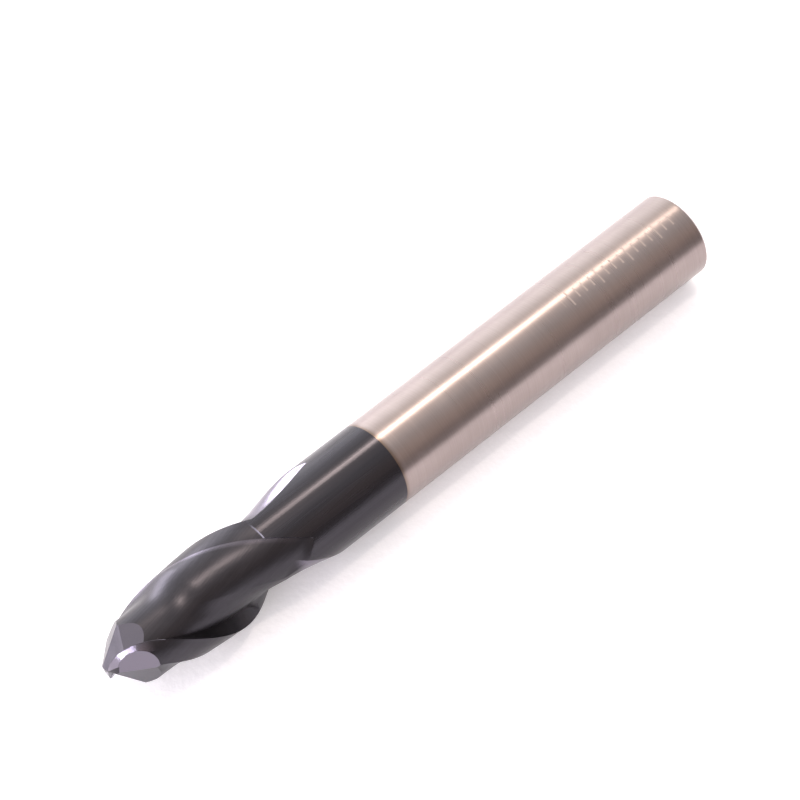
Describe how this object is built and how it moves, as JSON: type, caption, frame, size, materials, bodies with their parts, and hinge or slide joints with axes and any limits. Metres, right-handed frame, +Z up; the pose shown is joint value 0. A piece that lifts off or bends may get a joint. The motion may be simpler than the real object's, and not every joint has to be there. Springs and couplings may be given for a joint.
{
  "type": "ball nose end mill",
  "caption": "Solid carbide ball-nose end mill with helical flutes, a dark coated cutting end and a plain ground cylindrical shank.",
  "frame": {"origin": "centre of the flat rear face of the shank, on the tool axis", "axes": "+X along the tool axis from the tip to the rear face; +Z up with the tool lying on its side on the plane z = -6 mm; +Y across the tool"},
  "size_m": [0.1, 0.012, 0.012],
  "materials": {
    "bare_carbide": "fine ground, satin",
    "coated_carbide": "dark nitride coating over ground carbide, satin"
  },
  "bodies": {
    "root": {"shank": "bare_carbide", "neck": "coated_carbide", "fluted_body": "coated_carbide", "ball_nose": "coated_carbide"}
  },
  "joints": []
}
